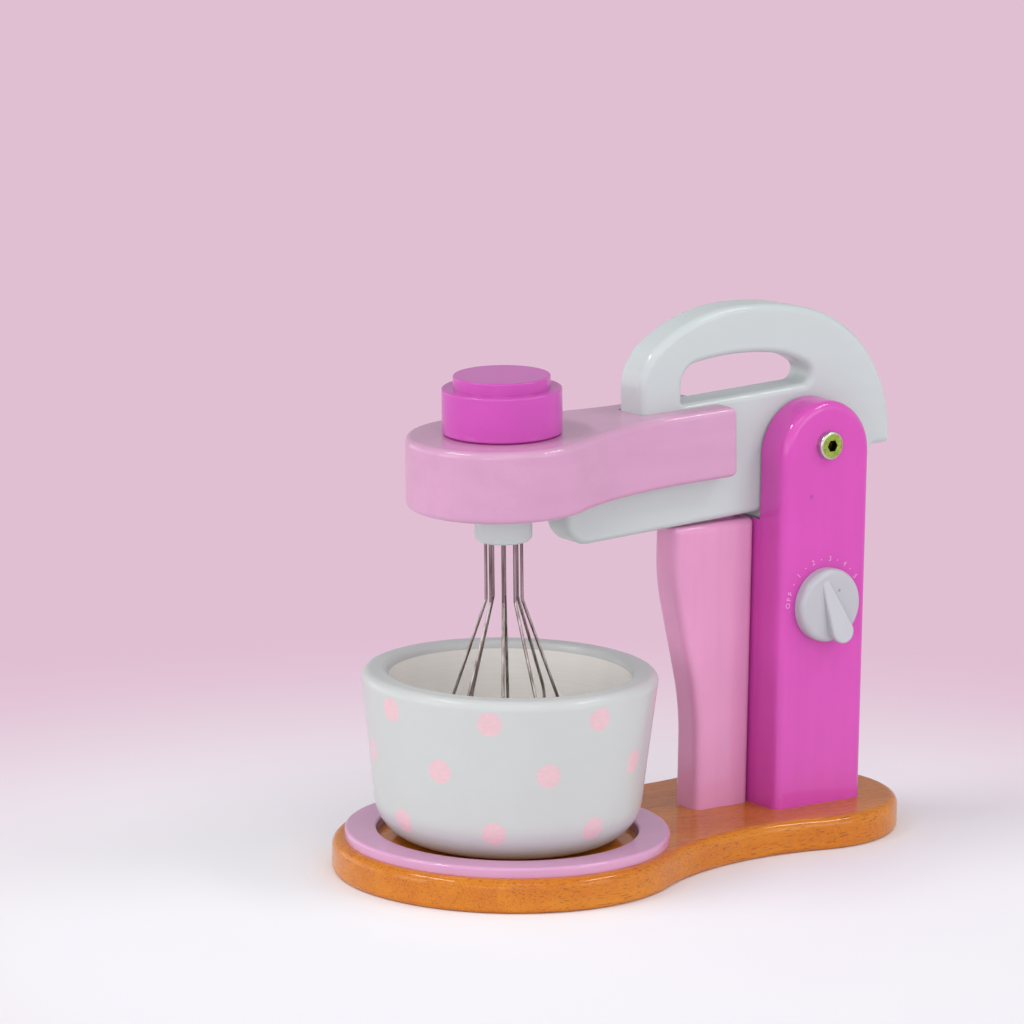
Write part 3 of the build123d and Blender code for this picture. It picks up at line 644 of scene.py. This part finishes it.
# ---------------------------------------------------------------- the knob's felt, as painted shade
def add_knob_felt():
    """A thin felt ring round the knob's washer, in a dark magenta that is painted shade for the
    gap, which leaves only a fine line under the knob.
    """
    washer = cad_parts["knob_washer"].data
    axis = max(washer.polygons, key=lambda face: face.area).normal.copy()
    corners = [corner.co for corner in washer.vertices]
    heights = [corner.dot(axis) for corner in corners]
    bpy.ops.mesh.primitive_circle_add(vertices=FELT_SIDES, radius=FELT_R)
    felt = bpy.context.object
    bpy.ops.object.mode_set(mode="EDIT")
    bpy.ops.mesh.select_all(action="SELECT")
    bpy.ops.mesh.extrude_region_move()
    bpy.ops.transform.resize(value=(FELT_HOLE, FELT_HOLE, 1.0), center_override=(0, 0, 0))
    bpy.ops.object.mode_set(mode="OBJECT")
    solid = felt.modifiers.new("thickness", "SOLIDIFY")
    solid.thickness = max(heights) - min(heights) - FELT_SLACK
    solid.offset = 0.0
    bpy.ops.object.modifier_apply(modifier=solid.name)
    felt.name = "knob_felt"
    felt.rotation_mode = "QUATERNION"
    felt.rotation_quaternion = axis.to_track_quat("Z", "Y")
    felt.location = sum(corners, Vector()) / len(corners)
    settle(felt)
    bpy.ops.object.shade_smooth_by_angle()
    coat(felt, FELT_AS_SHADE)
    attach(felt, "tilt_head")


# ---------------------------------------------------------------- camera
def add_camera():
    back = outward(CAMERA_AZIMUTH, CAMERA_ELEVATION)
    bpy.ops.object.camera_add(location=CAMERA_AIM + back * CAMERA_DISTANCE)
    camera = bpy.context.object
    camera.rotation_mode = "QUATERNION"
    camera.rotation_quaternion = ((-back).to_track_quat("-Z", "Y")
                                  @ Quaternion((0, 0, 1), radians(CAMERA_ROLL)))
    camera.data.lens = CAMERA_LENS
    camera.data.sensor_width = CAMERA_SENSOR
    camera.data.clip_start, camera.data.clip_end = CAMERA_CLIP
    bpy.context.scene.camera = camera


# ---------------------------------------------------------------- studio
def floor_material():
    """White near the object, where it takes the shadow, and an even pale pink further off."""
    material, tree, shader = new_material("floor", Base_Color=linear(FLOOR_NEAR), Roughness=0.6,
                                          Specular_IOR_Level=0.2)
    away = length(tree, place(tree, origin=FLOOR_NEAR_AT))
    far = ramp(tree, away, FLOOR_NEAR_R, FLOOR_FAR_R, shape="SMOOTHSTEP")
    path = shader_node(tree, "LightPath").outputs
    seen = strongest(tree, [path["Is Camera Ray"], path["Is Glossy Ray"],
                            path["Is Transmission Ray"]])
    glow = shader_node(tree, "Emission", {"Color": linear(BACKDROP), "Strength": 1.0})
    blend_shaders(tree, maths(tree, "MULTIPLY", far, seen), shader, glow, "Material Output")
    return material


def add_lamp(name, stand, size, power):
    azimuth, height, distance = stand
    out = outward(azimuth, height)
    bpy.ops.object.light_add(type="AREA", location=STUDIO_MIDDLE + out * distance)
    lamp = bpy.context.object
    lamp.name = name
    lamp.data.shape = "RECTANGLE"
    lamp.data.size, lamp.data.size_y = size
    lamp.data.energy = power
    lamp.rotation_mode = "QUATERNION"
    lamp.rotation_quaternion = (-out).to_track_quat("-Z", "Y")


def add_sky():
    """A soft pale world, brightest low down in front. The camera sees the backdrop instead."""
    world = bpy.context.scene.world or bpy.data.worlds.new("studio")
    bpy.context.scene.world = world
    world.use_nodes = True
    tree = world.node_tree
    direction = shader_node(tree, "TexCoord").outputs["Generated"]
    front = dot_product(tree, direction, SKY_FRONT)
    around = ramp(tree, front, -1.0, 1.0, SKY_RIM - SKY_TILT, SKY_RIM + SKY_TILT)
    drop = ramp(tree, axes(tree, direction)["Z"], 0.0, 1.0, 0.0, SKY_DROP)
    sky = tree.nodes["Background"]
    feed(tree, sky.inputs["Color"], linear(SKY_COLOUR))
    feed(tree, sky.inputs["Strength"], maths(tree, "SUBTRACT", around, drop))
    behind = shader_node(tree, "Background", {"Color": linear(BACKDROP), "Strength": 1.0})
    seen = shader_node(tree, "LightPath").outputs["Is Camera Ray"]
    blend_shaders(tree, seen, sky, behind, "World Output")


def add_studio():
    bpy.ops.mesh.primitive_plane_add(size=FLOOR_SIZE)
    floor = bpy.context.object
    floor.name = "floor"
    floor.data.materials.append(floor_material())
    for name, (stand, size, power) in LAMPS.items():
        add_lamp(name, stand, size, power)
    add_sky()


finish_solids()
bpy.ops.object.select_all(action="DESELECT")
add_camera()
add_studio()
add_marks()
add_front_lip()
add_knob_felt()

bpy.context.scene.view_settings.view_transform = "Standard"
